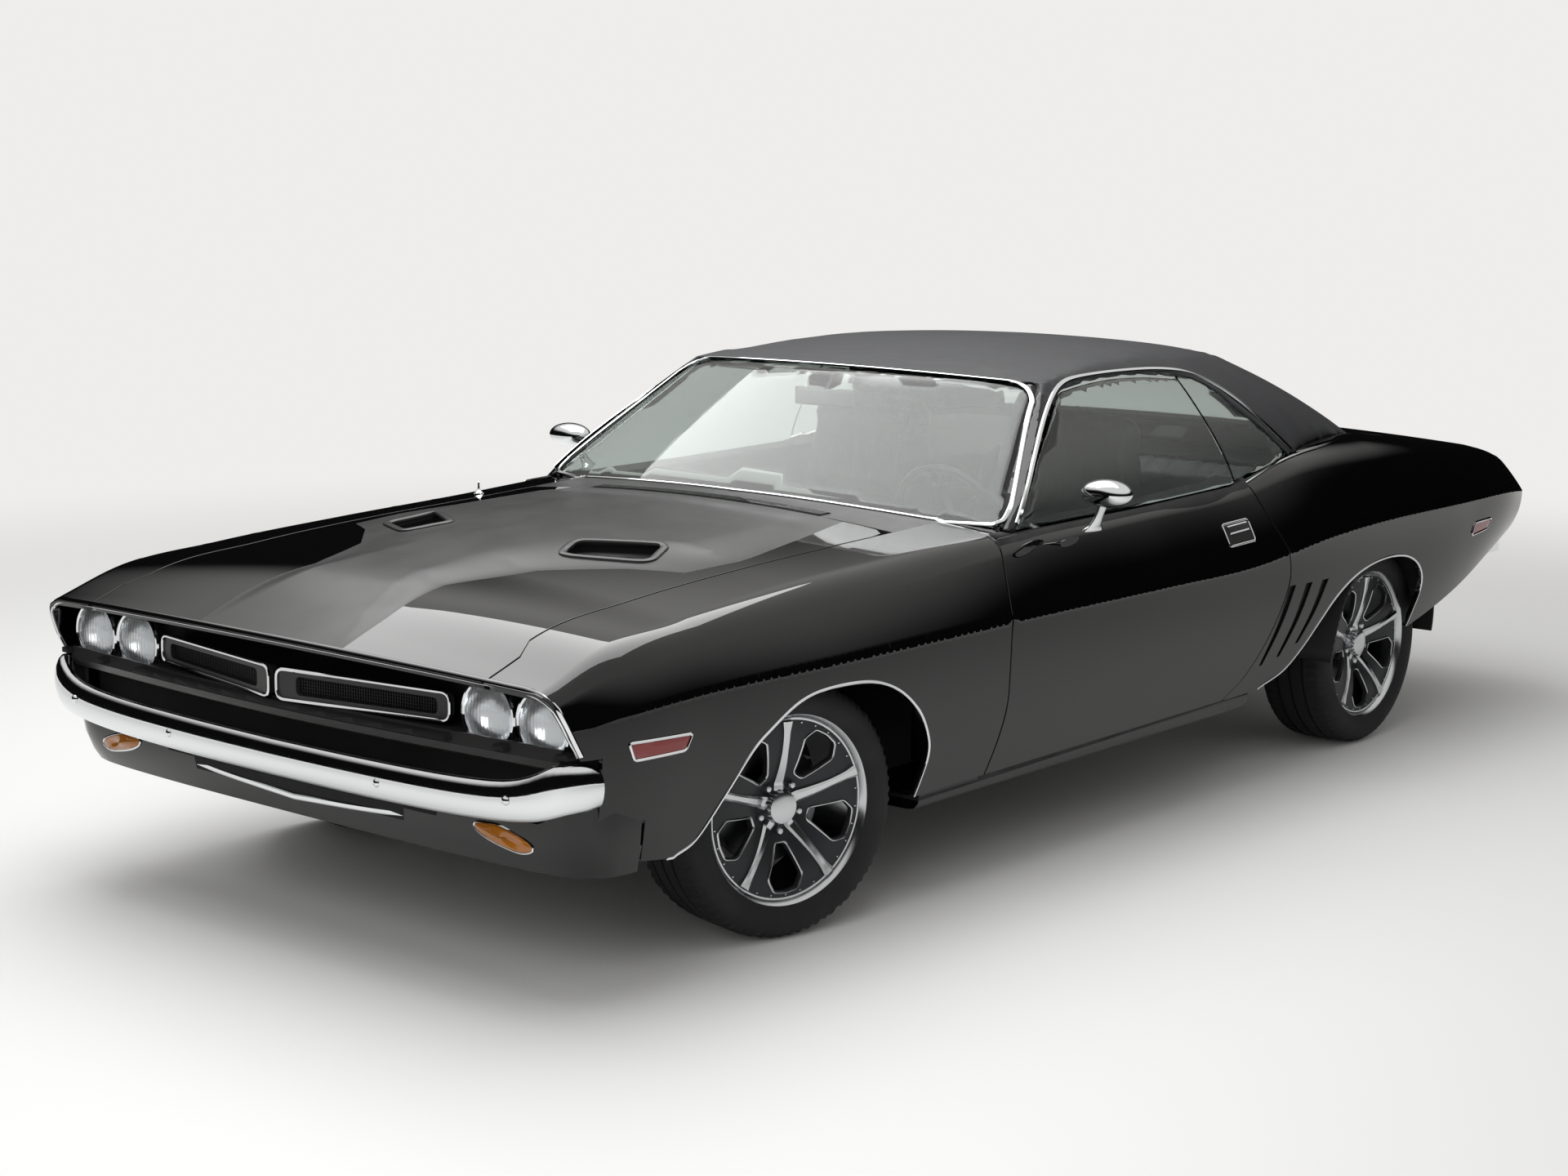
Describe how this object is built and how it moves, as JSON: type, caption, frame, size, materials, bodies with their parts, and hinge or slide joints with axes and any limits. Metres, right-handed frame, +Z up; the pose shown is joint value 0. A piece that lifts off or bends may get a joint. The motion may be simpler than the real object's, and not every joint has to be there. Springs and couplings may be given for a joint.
{
  "type": "two-door muscle car",
  "caption": "Two-door hardtop muscle car with scooped hood, star wheels, V grille, vinyl roof; doors, hood, boot lid, steering and wheels move.",
  "frame": {"origin": "on the ground under the middle of the car's length and width", "axes": "+X to the car's left, +Y to the rear, +Z up"},
  "size_m": [2.12, 4.86, 1.297],
  "materials": {
    "paint": "high gloss",
    "vinyl": "grained, satin",
    "black": "satin",
    "chrome": "polished",
    "lens_red": "clear red",
    "lens_amber": "clear amber",
    "lamp_glass": "ribbed",
    "glass": "clear",
    "chassis": "satin",
    "iron": "painted",
    "steel": "brushed",
    "seat_vinyl": "grained",
    "wheel_rim": "moulded",
    "tyre": "moulded rubber",
    "alloy": "polished and black"
  },
  "bodies": {
    "root": {"fender_left": "paint", "fender_right": "paint", "quarter_left": "paint", "quarter_right": "paint", "rockers": "paint", "cowl": "paint", "deck_filler": "paint", "roof": "vinyl", "tail_panel": "black", "front_valance": "black", "nose_panel": "black", "grille": "black", "firewall": "black", "engine_bay": "black", "dash": "black", "front_bumper": "chrome", "rear_bumper": "chrome", "nose_molding": "chrome", "tail_lamps": "lens_red", "small_lamps": "lens_amber", "headlamps": "lamp_glass", "windshield": "glass", "backlight": "glass", "quarter_glass": "glass", "floor_pan": "chassis", "wheelhouses": "chassis", "fuel_tank": "chassis", "parcel_shelf": "chassis", "steering_column": "chassis", "engine": "iron", "front_suspension": "iron", "rear_axle": "iron", "exhaust": "steel", "radiator": "steel", "front_seats": "seat_vinyl", "rear_seat": "seat_vinyl"},
    "hood": {"hood": "paint"},
    "deck_lid": {"deck_lid": "paint"},
    "door_left": {"door_left": "paint", "door_glass_left": "glass", "mirror_left": "chrome"},
    "door_right": {"door_right": "paint", "door_glass_right": "glass", "mirror_right": "chrome"},
    "steering_wheel": {"steering_wheel": "wheel_rim"},
    "knuckle_left": {"knuckle_left": "iron"},
    "knuckle_right": {"knuckle_right": "iron"},
    "wheel_front_left": {"tyre_front_left": "tyre", "wheel_front_left": "alloy"},
    "wheel_front_right": {"tyre_front_right": "tyre", "wheel_front_right": "alloy"},
    "wheel_rear_left": {"tyre_rear_left": "tyre", "wheel_rear_left": "alloy"},
    "wheel_rear_right": {"tyre_rear_right": "tyre", "wheel_rear_right": "alloy"}
  },
  "joints": [
    {"name": "hood_hinge", "type": "hinge", "parent": "root", "child": "hood", "pos_m": [0, -0.915, 0.948], "axis": [-1, 0, 0], "range_deg": [0, 50]},
    {"name": "boot_lid_hinge", "type": "hinge", "parent": "root", "child": "deck_lid", "pos_m": [0, 1.621, 0.966], "axis": [1, 0, 0], "range_deg": [0, 70]},
    {"name": "door_left_hinge", "type": "hinge", "parent": "root", "child": "door_left", "pos_m": [0.967, -0.865, 0.55], "axis": [0, 0, -1], "range_deg": [0, 65]},
    {"name": "door_right_hinge", "type": "hinge", "parent": "root", "child": "door_right", "pos_m": [-0.967, -0.865, 0.55], "axis": [0, 0, 1], "range_deg": [0, 65]},
    {"name": "steer_left", "type": "hinge", "parent": "root", "child": "knuckle_left", "pos_m": [0.69, -1.505, 0.317], "axis": [0, 0, 1], "range_deg": [-21.95, 48.05]},
    {"name": "steer_right", "type": "hinge", "parent": "root", "child": "knuckle_right", "pos_m": [-0.69, -1.505, 0.317], "axis": [0, 0, 1], "range_deg": [-21.95, 48.05]},
    {"name": "steering_wheel_turn", "type": "hinge", "parent": "root", "child": "steering_wheel", "pos_m": [0.38, -0.27, 0.82], "axis": [0, 0.9135, 0.4067], "range_deg": [-352, 769]},
    {"name": "spin_front_left", "type": "hinge", "parent": "knuckle_left", "child": "wheel_front_left", "pos_m": [0.7436, -1.5174, 0.317], "axis": [0.9742, -0.2258, 0], "continuous": true},
    {"name": "spin_rear_left", "type": "hinge", "parent": "root", "child": "wheel_rear_left", "pos_m": [0.768, 1.289, 0.317], "axis": [1, 0, 0], "continuous": true},
    {"name": "spin_front_right", "type": "hinge", "parent": "knuckle_right", "child": "wheel_front_right", "pos_m": [-0.7436, -1.4926, 0.317], "axis": [0.9742, -0.2258, 0], "continuous": true},
    {"name": "spin_rear_right", "type": "hinge", "parent": "root", "child": "wheel_rear_right", "pos_m": [-0.768, 1.289, 0.317], "axis": [1, 0, 0], "continuous": true}
  ],
  "couplings": [
    {"joint": "steer_right", "follows": "steer_left", "ratio": 1},
    {"joint": "steering_wheel_turn", "follows": "steer_left", "ratio": 16}
  ]
}
